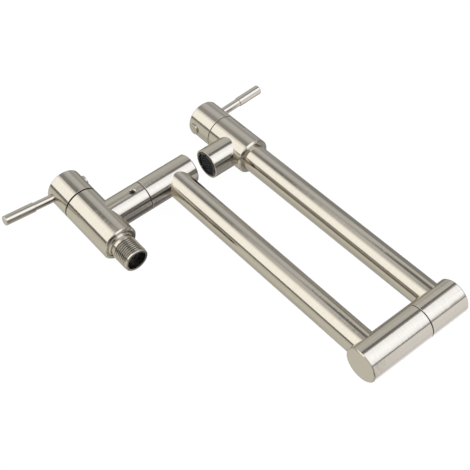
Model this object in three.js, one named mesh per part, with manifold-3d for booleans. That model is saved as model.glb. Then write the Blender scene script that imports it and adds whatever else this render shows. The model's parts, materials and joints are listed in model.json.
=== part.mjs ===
// Wall mounted pot filler: two quarter-turn valves joined by a folding arm of two tubes.
// Millimetres, +Z up, +Y into the wall. The origin is the centre of the wall valve's rear face.
import * as THREE from 'three';
import { mergeVertices } from 'three/addons/utils/BufferGeometryUtils.js';
import Module from 'manifold-3d';

const wasm = await Module();
wasm.setup();

// ---------------------------------------------------------------- driving dimensions
// Clearances
const seam = 0.3; // between brazed, pressed or seated pieces
const running = 0.3; // between a turning piece and what it turns in
const discGap = 0.2; // water film between the two ceramic discs, drawn thick
const pressGap = 0.2; // round an end cap, grille, clip or screw tip in its seat
const sealPlay = 0.2; // each side of an O-ring in its groove
const sealFloorGap = 0.1; // under an O-ring in its groove
const clipPlay = 0.15; // each side of a clip in its groove
const ringPlay = 0.1; // each side of a washer or bearing ring

// Both valves: a round body, a cartridge inside and a handle cap on its end
const valveDiameter = 30;
const rearChamfer = 1.5; // chamfer round the end away from the handle
const edgeBreak = 0.4; // small chamfer on turned ends
const wallRearLength = 27.2; // shoulder axis to the face that meets the wall fitting
const wallFrontLength = 23; // shoulder axis to the end that carries the handle
const wallHandleGap = 1.2;
const wallCapLength = 24.3;
const spoutRearLength = 19.2; // spout axis to the face that the arm tube enters
const spoutFrontLength = 20.2;
const spoutHandleGap = 0.6;
const spoutCapLength = 24.7;

// Inlet nipple, a G1/2 outside thread screwed into the wall valve
const threadDiameter = 20.9;
const nippleLength = 20; // rear face to the open end
const threadLength = 13.9;
const threadEndPlain = 1.8; // plain ring after the last thread
const reliefDiameter = 20.2; // plain neck before the first thread
const nippleBore = 16.4;
const nippleCollarDiameter = 22.6;
const nippleCollarHeight = 1.4; // seat to the end of the collar's taper
const collarSeatDepth = 1; // counterbore in the valve body that the collar sits in
const nippleRootDiameter = 20;
const inletSealThickness = 1.5;
const strainerDepth = 6.5; // open end to the strainer
const strainerThickness = 1.6;
const strainerRimWidth = 1.2;
const strainerHoleDiameter = 2.2;
const strainerHolePitch = 3.3;

// Cartridge, measured along the valve from the axis of its outlet
const seatDepth = 11; // outlet axis to the seat under the cartridge
const seatLedge = 3; // metal left between the cartridge and the rear socket
const waterway = 15; // bore through the seat ledge
const cartridgeDiameter = 18;
const cartridgeSealThickness = 1.3;
const cartridgeSealLip = 1; // how far the rubber seat reaches in under the disc
const discDiameter = 14.2;
const discThickness = 2.4;
const discWindowAngle = 70; // degrees of each of a disc's two windows
const discRim = 1.2; // left outside the windows
const discHubDiameter = 5;
const cartridgeWall = 1.6;
const footThickness = 1.6; // bar under the stem that turns the upper disc
const footWidth = 4.4;
const windowHeight = 5.2;
const windowWidth = 9;
const windowFloor = 1.4; // window starts this far below the outlet axis
const guideStart = 4.3; // where the stem guide starts
const flangeStart = 7.9;
const flangeThickness = 2.1;
const flangeDiameter = 24;
const neckDiameter = 13;
const neckHeight = 2.5;
const nutRecess = 1; // gland nut lies this far inside the body
const nutSlotWidth = 2.4;
const nutSlotDepth = 2;
const bearingRingWidth = 2.2;
const bearingRingInset = 0.9; // ring stays this far inside the body's outline

// Stem and handle
const stemDiameter = 7.4;
const stemReach = 19.5; // how far the stem goes into the handle cap
const stemFlat = 0.7; // depth of the flat that the set screw bears on
const stemFlatLength = 11;
const stemLap = 0.2; // stem's shank reaches this far into its foot
const stemSealSection = 0.85;
const stemSealSunk = 0.35; // stem's surface to the middle of the O-ring's section
const stemGrooveWidth = 1.6;
const stemGrooveDepth = 0.8;
const stemSealHeight = 8.6; // outlet axis to the stem's O-ring
const capRecessDiameter = 18;
const capRecessDepth = 6;
const leverFromEnd = 7.2; // lever axis to the cap's free end
const leverNeckDiameter = 6.6;
const leverGripDiameter = 7.8;
const leverStep = 32; // valve axis to the step where the grip starts
const wallLeverReach = 58.5; // valve axis to the lever's tip
const spoutLeverReach = 54.5;
const leverSeat = 8; // valve axis to the end of the neck inside the cap
const leverThreadDiameter = 5;
const leverThreadStart = 4.7;
const leverEdge = 0.45;
const plugDiameter = 9;
const plugSeat = 11.6; // valve axis to the plug's inner face
const plugProud = 1.1;
const plugEdge = 0.35;
const handleScrewDiameter = 5;
const handleScrewLength = 5;
const setScrewPoint = 0.55; // chamfer round a set screw's tip
const wallLeverLean = 7.4; // degrees that each lever leans from straight down or up
const spoutLeverLean = -3;
const wallPlugTurn = -7.4; // degrees from the point opposite the lever
const spoutPlugTurn = 7;

// Arms
const armDiameter = 22;
const armWall = 1.5;
const arm1Length = 226.5; // shoulder axis to elbow axis
const arm1Height = 70.5;
const arm1Heading = 4.35; // degrees from the wall valve's axis in the folded position
const arm2Length = 223; // elbow axis to spout axis
const arm2Height = 135;
const arm2Heading = 5.13;

// Swivels: a hollow spigot fixed in the lower socket, a barrel that turns on it
const stubDiameter = 25;
const shoulderSplit = 41.2; // valve axis to the top of the stub
const shoulderOverArm = 17; // first tube's axis to the top of the shoulder barrel
const swivelGap = 0.6;
const elbowDiameter = 28;
const elbowUnderArm = 14; // first tube's axis to the foot of the elbow
const elbowSplitUnderArm = 21.8; // second tube's axis to the top of the lower barrel
const elbowOverArm = 14.5; // second tube's axis to the top of the elbow
const barrelEdge = 0.8; // chamfer on the closed ends of the barrels
const barrelWall = 1.6;
const barrelFloor = 3;
const spigotDiameter = 18.6;
const spigotBore = 13.2;
const spigotFoot = 20; // depth of the spigot in its socket
const spigotHead = 12.2; // height of the spigot over its socket
const neckLength = 8; // stretch of barrel that runs on the spigot
const clipThickness = 1.2;
const clipDiameter = 21.2;
const clipGroove = 1; // depth of the clip's groove in the spigot
const clipOpening = 5;
const sealSection = 1.8; // thickness of the O-rings
const socketSealDepth = 15.5; // socket top to the fixed O-ring
const neckSealHeight = 4.4; // socket top to the running O-ring
const swivelScrewDepth = 9.3; // socket top to the set screw
const swivelScrewDiameter = 4;
const swivelScrewRecess = 0.7;
const swivelGrooveDepth = 0.9;
const hexSocketShare = 0.55; // across corners of a set screw's socket to its diameter
const hexSocketDepth = 1.8;
const washerWidth = 2.4;
const washerInset = 0.6;
const endCapThickness = 2.4;
const endCapLedge = 0.5;

// Spout and aerator
const spoutDiameter = 25;
const spoutBore = 19;
const spoutDrop = 33; // valve axis to the mouth
const spoutLip = 1.3; // wall left round the aerator
const spoutPort = 16;
const aeratorLength = 8.6;
const aeratorProud = 0.5;
const aeratorWall = 1.7;
const aeratorNotches = 8;
const notchWidth = 1.5;
const notchDepth = 0.9;
const aeratorSealThickness = 1.4;
const aeratorLipWidth = 0.9;
const grilleThickness = 1.6;
const grilleRecess = 1.5; // rim of the aerator to the grille
const grilleHoleDiameter = 2.1;
const grillePitch = 3;
const grilleMargin = 1.1;

// Facets round a full circle
const roundSides = 32;
const innerSides = 16;
const smallSides = 12;
const holeSides = 6; // small drilled holes
const hexagonSides = 6; // sockets of the set screws
const sealSectionSides = 5;
const windowCurveSteps = 4; // along each curved edge of a disc's window

// Making
const overcut = 1; // a cutting shape runs this far past what it cuts
const mergeDistance = 1e-5; // corners this close are one
const patternTolerance = 1e-6;

// ---------------------------------------------------------------- finishes
const finish = (color, roughness, metalness) => () =>
  new THREE.MeshStandardMaterial({ color, roughness, metalness });
const brushed = finish(0xb9b0a1, 0.3, 1);
const brass = finish(0xb08d4f, 0.35, 1);
const steel = finish(0x8f8f8c, 0.3, 1);
const rubber = finish(0x151515, 0.8, 0);
const blackPlastic = finish(0x1c1c1e, 0.45, 0);
const ceramic = finish(0xe8e6df, 0.25, 0);

// ---------------------------------------------------------------- shape helpers
const radians = THREE.MathUtils.degToRad;

// Spins an outline of [radius, height] points about Z. The outline starts and ends on the axis.
function turned(outline, sides = roundSides) {
  const points = outline.map(([r, z]) => new THREE.Vector2(r, z));
  return new THREE.LatheGeometry(points, sides).rotateX(Math.PI / 2);
}

// Spins an outline that goes round a hollow centre and closes on itself.
function turnedRing(outline, sides = roundSides) {
  return turned([...outline, outline[0]], sides);
}

function rod(radius, z0, z1, sides = roundSides) {
  return turned([[0, z0], [radius, z0], [radius, z1], [0, z1]], sides);
}

function pipe(outer, inner, z0, z1, sides = roundSides) {
  return turnedRing([[inner, z0], [outer, z0], [outer, z1], [inner, z1]], sides);
}

function oRing(radius, section, z, sides = innerSides) {
  const outline = [];
  for (let i = 0; i < sealSectionSides; i++) {
    const angle = ((i + 0.5) / sealSectionSides) * 2 * Math.PI;
    outline.push([radius + (section / 2) * Math.cos(angle), z + (section / 2) * Math.sin(angle)]);
  }
  return turnedRing(outline, sides);
}

function block(width, depth, height, x, y, z) {
  return new THREE.BoxGeometry(width, depth, height).translate(x, y, z);
}

// Lays a shape made along +Z along +Y instead.
const alongY = (geometry) => geometry.rotateX(-Math.PI / 2);

// Lays a shape made along +Z along +X instead.
const alongX = (geometry) => geometry.rotateY(Math.PI / 2);

// A closed surface with shared corners, as a solid that can be joined and cut.
function solid(geometry) {
  const bare = new THREE.BufferGeometry();
  bare.setAttribute('position', geometry.getAttribute('position'));
  bare.setIndex(geometry.getIndex());
  const merged = mergeVertices(bare, mergeDistance);
  const corners = merged.getIndex().array;
  const kept = [];
  for (let i = 0; i < corners.length; i += 3) {
    const [a, b, c] = [corners[i], corners[i + 1], corners[i + 2]];
    if (a !== b && b !== c && c !== a) {
      kept.push(a, b, c);
    }
  }
  return new wasm.Manifold(new wasm.Mesh({
    numProp: 3,
    vertProperties: new Float32Array(merged.getAttribute('position').array),
    triVerts: new Uint32Array(kept),
  }));
}

const joined = (...shapes) => shapes.map(solid).reduce((whole, shape) => whole.add(shape));

const cut = (whole, ...shapes) => shapes.map(solid).reduce((left, shape) => left.subtract(shape), whole);

// A named piece in its parent group.
function piece(group, name, shape, material) {
  const { vertProperties, triVerts } = shape.getMesh();
  const geometry = new THREE.BufferGeometry();
  geometry.setAttribute('position', new THREE.BufferAttribute(vertProperties, 3));
  geometry.setIndex(new THREE.BufferAttribute(triVerts, 1));
  geometry.computeVertexNormals();
  const mesh = new THREE.Mesh(geometry, material());
  mesh.name = name;
  group.add(mesh);
}

// ---------------------------------------------------------------- sizes worked out
const valveRadius = valveDiameter / 2;
const cartridgeBore = cartridgeDiameter / 2 + seam;
const nutBore = flangeDiameter / 2 + seam;
const socketBore = spigotDiameter / 2 + running;
const armRadius = armDiameter / 2;
const armBore = armRadius - armWall;
const socketFloor = seatDepth + seatLedge; // outlet axis to the floor of the rear socket
const shoulderTop = arm1Height + shoulderOverArm;
const elbowBottom = arm1Height - elbowUnderArm;
const elbowSplit = arm2Height - elbowSplitUnderArm;
const elbowTop = arm2Height + elbowOverArm;

// ---------------------------------------------------------------- groups
const potFiller = new THREE.Group();
const fixture = new THREE.Group(); // valve axis under the shoulder
fixture.position.set(0, -wallRearLength, 0);
potFiller.add(fixture);

const wallValve = new THREE.Group(); // its +Z runs to the handle, its +Y up to the stub
wallValve.rotation.x = Math.PI / 2;
fixture.add(wallValve);

const arm1 = new THREE.Group(); // its +Y runs along the first tube
arm1.rotation.z = -radians(arm1Heading);
fixture.add(arm1);

const arm2 = new THREE.Group(); // its +Y runs back along the second tube
arm2.position.set(0, arm1Length, 0);
arm2.rotation.z = -radians(180 + arm2Heading - arm1Heading);
arm1.add(arm2);

const spoutValve = new THREE.Group(); // its +Z runs to the handle, its +Y down the spout
spoutValve.position.set(0, arm2Length, arm2Height);
spoutValve.rotation.x = -Math.PI / 2;
arm2.add(spoutValve);

// ---------------------------------------------------------------- valve bodies
// Bores from the handle end: gland nut and flange, cartridge, seat ledge, then the rear socket.
function valveBores(rearLength, frontLength, rearBore) {
  return [
    rod(nutBore, flangeStart - seam, frontLength + overcut, innerSides),
    rod(cartridgeBore, -seatDepth, flangeStart, innerSides),
    rod(waterway / 2, -socketFloor - overcut, -seatDepth + overcut, innerSides),
    rod(rearBore, -rearLength - overcut, -socketFloor, innerSides),
  ];
}

function valveOutline(rearLength, frontLength) {
  return [
    [0, -rearLength],
    [valveRadius - rearChamfer, -rearLength],
    [valveRadius, -rearLength + rearChamfer],
    [valveRadius, frontLength - edgeBreak],
    [valveRadius - edgeBreak, frontLength],
    [0, frontLength],
  ];
}

// Wall valve body: the round body and the upright stub are one casting.
{
  const body = joined(
    turned(valveOutline(wallRearLength, wallFrontLength)),
    alongY(rod(stubDiameter / 2, 0, shoulderSplit)),
  );
  const screwLevel = shoulderSplit - swivelScrewDepth;
  const screwHole = alongX(rod(swivelScrewDiameter / 2 + seam, 0, stubDiameter, smallSides));
  const collarSeat = rod(
    nippleCollarDiameter / 2 + seam,
    -wallRearLength - overcut,
    -wallRearLength + collarSeatDepth,
  );
  piece(wallValve, 'wall_valve_body', cut(
    body,
    ...valveBores(wallRearLength, wallFrontLength, nippleRootDiameter / 2 + seam),
    collarSeat,
    alongY(rod(socketBore, 0, shoulderSplit + overcut, innerSides)),
    screwHole.translate(0, screwLevel, 0),
  ), brushed);
}

// Spout valve body: the arm tube enters its rear face, the spout is brazed on below.
piece(spoutValve, 'spout_valve_body', cut(
  joined(turned(valveOutline(spoutRearLength, spoutFrontLength))),
  ...valveBores(spoutRearLength, spoutFrontLength, armRadius + seam),
  alongY(rod(spoutPort / 2, 0, valveDiameter, innerSides)),
), brushed);

// ---------------------------------------------------------------- inlet
{
  const face = -wallRearLength;
  const end = face - nippleLength;
  const threadEnd = end + threadEndPlain;
  const threadStart = threadEnd + threadLength;
  const collarFoot = face + collarSeatDepth - seam;
  const rootEnd = -socketFloor - inletSealThickness - 2 * seam;
  const rootRadius = nippleRootDiameter / 2;
  const collarRadius = nippleCollarDiameter / 2;
  const bore = nippleBore / 2;
  const plainRadius = reliefDiameter / 2;
  piece(wallValve, 'inlet_nipple', joined(turnedRing([
    [bore, end],
    [plainRadius - edgeBreak, end],
    [plainRadius, end + edgeBreak],
    [plainRadius, threadEnd],
    [threadDiameter / 2, threadEnd],
    [threadDiameter / 2, threadStart],
    [plainRadius, threadStart],
    [plainRadius, collarFoot - nippleCollarHeight],
    [collarRadius, collarFoot - edgeBreak],
    [collarRadius, collarFoot],
    [rootRadius, collarFoot],
    [rootRadius, rootEnd],
    [bore, rootEnd],
  ])), brushed);
  piece(wallValve, 'inlet_seal', joined(
    pipe(rootRadius, bore, rootEnd + seam, rootEnd + seam + inletSealThickness, innerSides),
  ), rubber);

  // Strainer: a black disc with rows of round holes, held in the nipple's bore.
  const strainerRadius = bore - seam;
  const strainerStart = end + strainerDepth;
  const openRadius = strainerRadius - strainerRimWidth - strainerHoleDiameter / 2;
  const strainerEnd = strainerStart + strainerThickness;
  const holes = hexPattern(strainerHolePitch, openRadius).map(([x, y]) =>
    rod(strainerHoleDiameter / 2, strainerStart - overcut, strainerEnd + overcut, holeSides)
      .translate(x, y, 0));
  piece(wallValve, 'inlet_strainer', cut(
    joined(rod(strainerRadius, strainerStart, strainerEnd, innerSides)),
    ...holes,
  ), blackPlastic);
}

// Centres of a hexagonal pattern that lie within a radius.
function hexPattern(pitch, radius) {
  const centres = [];
  const rows = Math.ceil(radius / pitch) + 1;
  for (let row = -rows; row <= rows; row++) {
    for (let column = -2 * rows; column <= 2 * rows; column++) {
      const x = pitch * (column + row / 2);
      const y = pitch * row * Math.sin(Math.PI / 3);
      if (Math.hypot(x, y) <= radius + patternTolerance) {
        centres.push([x, y]);
      }
    }
  }
  return centres;
}

// ---------------------------------------------------------------- cartridges
// Ceramic disc with two windows facing each other across a solid hub.
function ceramicDisc(z0) {
  const windows = [90, 270].map((middle) => {
    const half = radians(discWindowAngle / 2);
    const shape = new THREE.Shape();
    shape.absarc(0, 0, discDiameter / 2 - discRim, -half, half, false);
    shape.absarc(0, 0, discHubDiameter / 2, half, -half, true);
    shape.closePath();
    return new THREE.ExtrudeGeometry(shape, {
      depth: discThickness + 2 * overcut,
      bevelEnabled: false,
      curveSegments: windowCurveSteps,
    }).translate(0, 0, z0 - overcut).rotateZ(radians(middle));
  });
  return cut(joined(rod(discDiameter / 2, z0, z0 + discThickness, innerSides)), ...windows);
}

// Set screw along +Z with its tip at z0 and a hexagon socket in its outer end.
function setScrew(diameter, z0, z1) {
  const shank = turned([
    [0, z0],
    [diameter / 2 - setScrewPoint, z0],
    [diameter / 2, z0 + setScrewPoint],
    [diameter / 2, z1],
    [0, z1],
  ], smallSides);
  const socketRadius = (diameter / 2) * hexSocketShare;
  const socket = rod(socketRadius, z1 - hexSocketDepth, z1 + overcut, hexagonSides);
  return [shank, socket];
}

function addValveParts(valve, name, sizes) {
  const { frontLength, handleGap, capLength, leverLean, leverReach, plugTurn } = sizes;
  const sealStart = -seatDepth + seam;
  const housingStart = sealStart + cartridgeSealThickness + seam;
  const housingRadius = cartridgeDiameter / 2;
  const chamberRadius = housingRadius - cartridgeWall;
  const guideRadius = stemDiameter / 2 + running;
  const sealBore = waterway / 2 - cartridgeSealLip;
  const flangeEnd = flangeStart + flangeThickness;
  const neckEnd = flangeEnd + neckHeight;

  // Rubber seat, brass housing with two side windows, lower disc and gland nut stay in the body.
  piece(valve, `${name}_cartridge_seal`, joined(
    pipe(housingRadius, sealBore, sealStart, sealStart + cartridgeSealThickness, innerSides),
  ), rubber);
  const windowMiddle = -windowFloor + windowHeight / 2;
  piece(valve, `${name}_cartridge_housing`, cut(
    joined(turnedRing([
      [chamberRadius, housingStart],
      [housingRadius, housingStart],
      [housingRadius, flangeStart],
      [flangeDiameter / 2, flangeStart],
      [flangeDiameter / 2, flangeEnd],
      [neckDiameter / 2, flangeEnd],
      [neckDiameter / 2, neckEnd],
      [guideRadius, neckEnd],
      [guideRadius, guideStart],
      [chamberRadius, guideStart],
    ], innerSides)),
    block(windowWidth, cartridgeDiameter + 2 * overcut, windowHeight, 0, 0, windowMiddle),
  ), brass);
  piece(valve, `${name}_cartridge_lower_disc`, ceramicDisc(housingStart), ceramic);
  const nutStart = flangeEnd + seam;
  const nutEnd = frontLength - nutRecess;
  const slotLength = flangeDiameter + 2 * overcut;
  piece(valve, `${name}_gland_nut`, cut(
    joined(pipe(flangeDiameter / 2, neckDiameter / 2 + seam, nutStart, nutEnd, innerSides)),
    block(slotLength, nutSlotWidth, 2 * nutSlotDepth, 0, 0, nutEnd),
    block(nutSlotWidth, slotLength, 2 * nutSlotDepth, 0, 0, nutEnd),
  ), brass);
  const ringOuter = valveRadius - bearingRingInset;
  piece(valve, `${name}_bearing_ring`, joined(pipe(
    ringOuter,
    ringOuter - bearingRingWidth,
    frontLength + ringPlay,
    frontLength + handleGap - ringPlay,
    innerSides,
  )), blackPlastic);

  // The handle group turns about the valve's axis; its lever runs along -Y.
  const handle = new THREE.Group();
  handle.rotation.z = radians(leverLean);
  valve.add(handle);

  const upperDisc = housingStart + discThickness + discGap;
  piece(handle, `${name}_cartridge_upper_disc`, ceramicDisc(upperDisc), ceramic);

  const footStart = upperDisc + discThickness + seam;
  const capStart = frontLength + handleGap;
  const capEnd = capStart + capLength;
  const stemTop = capStart + stemReach;
  const stemRadius = stemDiameter / 2;
  const footEnd = footStart + footThickness;
  const halfGroove = stemGrooveWidth / 2;
  const plugAxis = radians(plugTurn);
  const flatCut = block(stemDiameter, 2 * stemFlat, stemFlatLength + overcut, 0, stemRadius, 0)
    .rotateZ(plugAxis)
    .translate(0, 0, stemTop + (overcut - stemFlatLength) / 2);
  const footSweep = chamberRadius * Math.cos(Math.PI / innerSides) - running;
  const footLength = 2 * Math.sqrt(footSweep ** 2 - (footWidth / 2) ** 2);
  piece(handle, `${name}_stem`, cut(
    joined(
      block(footLength, footWidth, footThickness, 0, 0, footStart + footThickness / 2),
      turned([
        [0, footEnd - stemLap],
        [stemRadius, footEnd - stemLap],
        [stemRadius, stemSealHeight - halfGroove],
        [stemRadius - stemGrooveDepth, stemSealHeight - halfGroove],
        [stemRadius - stemGrooveDepth, stemSealHeight + halfGroove],
        [stemRadius, stemSealHeight + halfGroove],
        [stemRadius, stemTop - edgeBreak],
        [stemRadius - edgeBreak, stemTop],
        [0, stemTop],
      ], smallSides),
    ),
    flatCut,
  ), brass);
  piece(handle, `${name}_stem_seal`, joined(
    oRing(stemRadius - stemSealSunk, stemSealSection, stemSealHeight, smallSides),
  ), rubber);

  // Handle cap: solid round bar with a recess, a bore for the stem and two holes across.
  const crossLevel = capEnd - leverFromEnd;
  const across = (geometry, turn) => alongY(geometry).rotateZ(turn).translate(0, 0, crossLevel);
  const lever = (geometry) => across(geometry, Math.PI);
  const opposite = (geometry) => across(geometry, plugAxis);
  const threadBore = leverThreadDiameter / 2 + seam;
  const screwBore = handleScrewDiameter / 2 + seam;
  piece(handle, `${name}_handle_cap`, cut(
    joined(turned([
      [0, capStart],
      [valveRadius - edgeBreak, capStart],
      [valveRadius, capStart + edgeBreak],
      [valveRadius, capEnd - barrelEdge],
      [valveRadius - barrelEdge, capEnd],
      [0, capEnd],
    ])),
    rod(capRecessDiameter / 2, capStart - overcut, capStart + capRecessDepth, innerSides),
    rod(stemRadius + seam, capStart, stemTop + seam, smallSides),
    lever(rod(threadBore, 0, leverSeat, smallSides)),
    lever(rod(leverNeckDiameter / 2 + seam, leverSeat - seam, valveDiameter, smallSides)),
    opposite(rod(screwBore, 0, plugSeat, smallSides)),
    opposite(rod(plugDiameter / 2 + seam, plugSeat - seam, valveDiameter, innerSides)),
  ), brushed);

  // Lever: one turned rod, a thread and a slim neck inside, a thicker grip outside.
  const gripRadius = leverGripDiameter / 2;
  const neckRadius = leverNeckDiameter / 2;
  piece(handle, `${name}_lever`, joined(lever(turned([
    [0, leverThreadStart],
    [leverThreadDiameter / 2, leverThreadStart],
    [leverThreadDiameter / 2, leverSeat],
    [neckRadius, leverSeat],
    [neckRadius, leverStep],
    [gripRadius, leverStep + (gripRadius - neckRadius) / 2],
    [gripRadius, leverReach - leverEdge],
    [gripRadius - leverEdge, leverReach],
    [0, leverReach],
  ], innerSides))), brushed);

  // Set screw that clamps the cap on the stem's flat, and the plug that hides it.
  const screwTip = stemRadius - stemFlat + seam;
  const [shank, hexagon] = setScrew(handleScrewDiameter, screwTip, screwTip + handleScrewLength);
  piece(handle, `${name}_handle_set_screw`, cut(joined(opposite(shank)), opposite(hexagon)), steel);
  const plugTop = valveRadius + plugProud;
  piece(handle, `${name}_handle_plug`, joined(opposite(turned([
    [0, plugSeat],
    [plugDiameter / 2, plugSeat],
    [plugDiameter / 2, plugTop - plugEdge],
    [plugDiameter / 2 - plugEdge, plugTop],
    [0, plugTop],
  ], innerSides))), brushed);
}

addValveParts(wallValve, 'wall', {
  frontLength: wallFrontLength,
  handleGap: wallHandleGap,
  capLength: wallCapLength,
  leverLean: wallLeverLean,
  leverReach: wallLeverReach,
  plugTurn: wallPlugTurn,
});
addValveParts(spoutValve, 'spout', {
  frontLength: spoutFrontLength,
  handleGap: spoutHandleGap,
  capLength: spoutCapLength,
  leverLean: spoutLeverLean,
  leverReach: spoutLeverReach,
  plugTurn: spoutPlugTurn,
});

// ---------------------------------------------------------------- swivels
// Fixed pieces of a swivel. z = split is the top of the socket that holds the spigot.
function addSwivel(group, name, split, socketDiameter, screwSide) {
  const spigotRadius = spigotDiameter / 2;
  const screwLevel = split - swivelScrewDepth;
  const clipLevel = split + swivelGap + neckLength + seam;
  const sealGroove = sealSection + 2 * sealPlay;
  const sealFloor = spigotRadius - sealSection + seam;
  const grooves = [
    [screwLevel, swivelScrewDiameter + 2 * seam, spigotRadius - swivelGrooveDepth],
    [split - socketSealDepth, sealGroove, sealFloor],
    [split + neckSealHeight, sealGroove, sealFloor],
    [clipLevel + clipThickness / 2, clipThickness + 2 * clipPlay, spigotRadius - clipGroove],
  ];
  piece(group, `${name}_spigot`, cut(
    joined(pipe(spigotRadius, spigotBore / 2, split - spigotFoot, split + spigotHead, innerSides)),
    ...grooves.map(([z, height, floor]) =>
      pipe(spigotDiameter, floor, z - height / 2, z + height / 2, innerSides)),
  ), brass);

  const sealRadius = sealFloor + sealFloorGap + (sealSection - seam) / 2;
  const seals = [['socket_seal', -socketSealDepth], ['neck_seal', neckSealHeight]];
  for (const [sealName, level] of seals) {
    piece(group, `${name}_${sealName}`, joined(
      oRing(sealRadius, sealSection - seam, split + level),
    ), rubber);
  }

  // Spring clip, open on one side, that keeps the barrel down.
  const clipInner = spigotRadius - clipGroove + pressGap;
  const clipMiddle = clipLevel + clipThickness / 2;
  const clipCut = clipThickness + 2 * overcut;
  piece(group, `${name}_clip`, cut(
    joined(pipe(clipDiameter / 2, clipInner, clipLevel, clipLevel + clipThickness, innerSides)),
    block(clipOpening, clipDiameter, clipCut, 0, -clipDiameter / 2, clipMiddle),
  ), steel);

  // Plain washer that the barrel turns on.
  const washerOuter = socketDiameter / 2 - washerInset;
  piece(group, `${name}_washer`, joined(pipe(
    washerOuter,
    washerOuter - washerWidth,
    split + ringPlay,
    split + swivelGap - ringPlay,
    innerSides,
  )), blackPlastic);

  const screwTip = spigotRadius - swivelGrooveDepth + pressGap;
  const screwHead = socketDiameter / 2 - swivelScrewRecess;
  const [shank, hexagon] = setScrew(swivelScrewDiameter, screwTip, screwHead);
  const seated = (geometry) => alongX(geometry).rotateZ(screwSide).translate(0, 0, screwLevel);
  piece(group, `${name}_set_screw`, cut(joined(seated(shank)), seated(hexagon)), steel);
}

// A barrel that turns on a spigot, with a port towards its arm and an open top for its end cap.
function upperBarrel(diameter, split, top, armHeight) {
  const radius = diameter / 2;
  const bottom = split + swivelGap;
  const chamber = radius - barrelWall;
  const ledge = top - endCapThickness - seam;
  return cut(
    joined(turned([
      [0, bottom],
      [radius - edgeBreak, bottom],
      [radius, bottom + edgeBreak],
      [radius, top - barrelEdge],
      [radius - barrelEdge, top],
      [0, top],
    ])),
    rod(socketBore, bottom - overcut, bottom + neckLength + overcut, innerSides),
    rod(chamber, bottom + neckLength, ledge + overcut, innerSides),
    rod(chamber + endCapLedge, ledge, top + overcut, innerSides),
    alongY(rod(armBore, 0, diameter, innerSides)).translate(0, 0, armHeight),
  );
}

function endCap(diameter, top) {
  const radius = diameter / 2 - barrelWall + endCapLedge - pressGap;
  return joined(turned([
    [0, top - endCapThickness],
    [radius, top - endCapThickness],
    [radius, top],
    [0, top],
  ], innerSides));
}

addSwivel(fixture, 'shoulder', shoulderSplit, stubDiameter, 0);
piece(arm1, 'shoulder_barrel', upperBarrel(stubDiameter, shoulderSplit, shoulderTop, arm1Height), brushed);
piece(arm1, 'shoulder_end_cap', endCap(stubDiameter, shoulderTop), brushed);

// Elbow: the lower barrel ends the first arm and holds the spigot, the upper one starts the second.
const elbow = new THREE.Group();
elbow.position.set(0, arm1Length, 0);
arm1.add(elbow);
{
  const radius = elbowDiameter / 2;
  const socketEnd = elbowSplit - spigotFoot - 2 * seam;
  const port = alongY(rod(armBore, -elbowDiameter, 0, innerSides)).translate(0, 0, arm1Height);
  const screwHole = alongX(rod(swivelScrewDiameter / 2 + seam, -elbowDiameter, 0, smallSides));
  piece(elbow, 'elbow_lower_barrel', cut(
    joined(turned([
      [0, elbowBottom],
      [radius - barrelEdge, elbowBottom],
      [radius, elbowBottom + barrelEdge],
      [radius, elbowSplit - edgeBreak],
      [radius - edgeBreak, elbowSplit],
      [0, elbowSplit],
    ])),
    rod(socketBore, socketEnd - overcut, elbowSplit + overcut, innerSides),
    rod(radius - barrelWall, elbowBottom + barrelFloor, socketEnd, innerSides),
    port,
    screwHole.translate(0, 0, elbowSplit - swivelScrewDepth),
  ), brushed);
}
addSwivel(elbow, 'elbow', elbowSplit, elbowDiameter, Math.PI);
piece(arm2, 'elbow_upper_barrel', upperBarrel(elbowDiameter, elbowSplit, elbowTop, arm2Height), brushed);
piece(arm2, 'elbow_end_cap', endCap(elbowDiameter, elbowTop), brushed);

// ---------------------------------------------------------------- arm tubes
// Each end that meets a barrel is coped to its curve.
{
  const tube = (length) => cut(
    joined(alongY(rod(armRadius, 0, length))),
    alongY(rod(armBore, -overcut, length + overcut, innerSides)),
  );
  const cope = (diameter, y) =>
    rod(diameter / 2 + seam, -armDiameter, armDiameter).translate(0, y, 0);
  const tube1 = cut(
    tube(arm1Length),
    cope(stubDiameter, 0),
    cope(elbowDiameter, arm1Length),
  );
  const lift1 = new THREE.Group();
  lift1.position.z = arm1Height;
  arm1.add(lift1);
  piece(lift1, 'arm_1_tube', tube1, brushed);

  const tube2End = arm2Length - socketFloor - seam;
  const tube2 = cut(tube(tube2End), cope(elbowDiameter, 0));
  const lift2 = new THREE.Group();
  lift2.position.z = arm2Height;
  arm2.add(lift2);
  piece(lift2, 'arm_2_tube', tube2, brushed);
}

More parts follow.
